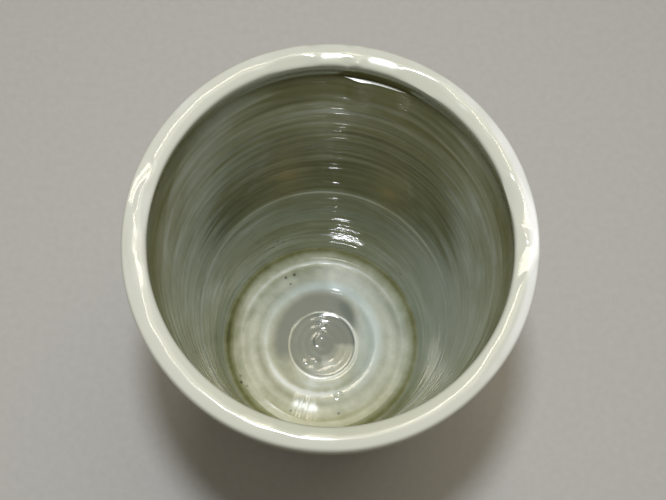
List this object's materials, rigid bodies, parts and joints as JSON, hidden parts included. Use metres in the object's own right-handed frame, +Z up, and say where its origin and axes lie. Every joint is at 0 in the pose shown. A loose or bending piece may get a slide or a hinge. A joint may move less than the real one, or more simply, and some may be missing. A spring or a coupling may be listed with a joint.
{
  "type": "brush pot",
  "caption": "Open, gently tapered ceramic brush pot with a thick rounded lip, celadon glaze, a ringed floor and a bare foot ring; it stands on a desk and holds brushes upright.",
  "frame": {"origin": "centre of the foot ring's underside", "axes": "+Z up along the pot's axis, out of its mouth; the pot is round, so +X and +Y are alike"},
  "size_m": [0.112, 0.112, 0.16],
  "materials": {
    "bare_clay": "unglazed, fired buff",
    "wall_glaze": "glossy celadon",
    "floor_glaze": "glossy celadon, pooled",
    "lip_glaze": "glossy celadon, thin and pale"
  },
  "bodies": {
    "root": {"foot_ring": "bare_clay", "floor_slab": "bare_clay", "lower_wall": "bare_clay", "upper_wall": "bare_clay", "lip_roll": "bare_clay", "floor_glaze": "floor_glaze", "inner_wall_glaze": "wall_glaze", "lip_glaze": "lip_glaze", "outer_wall_glaze": "wall_glaze", "base_glaze": "wall_glaze"}
  },
  "joints": []
}
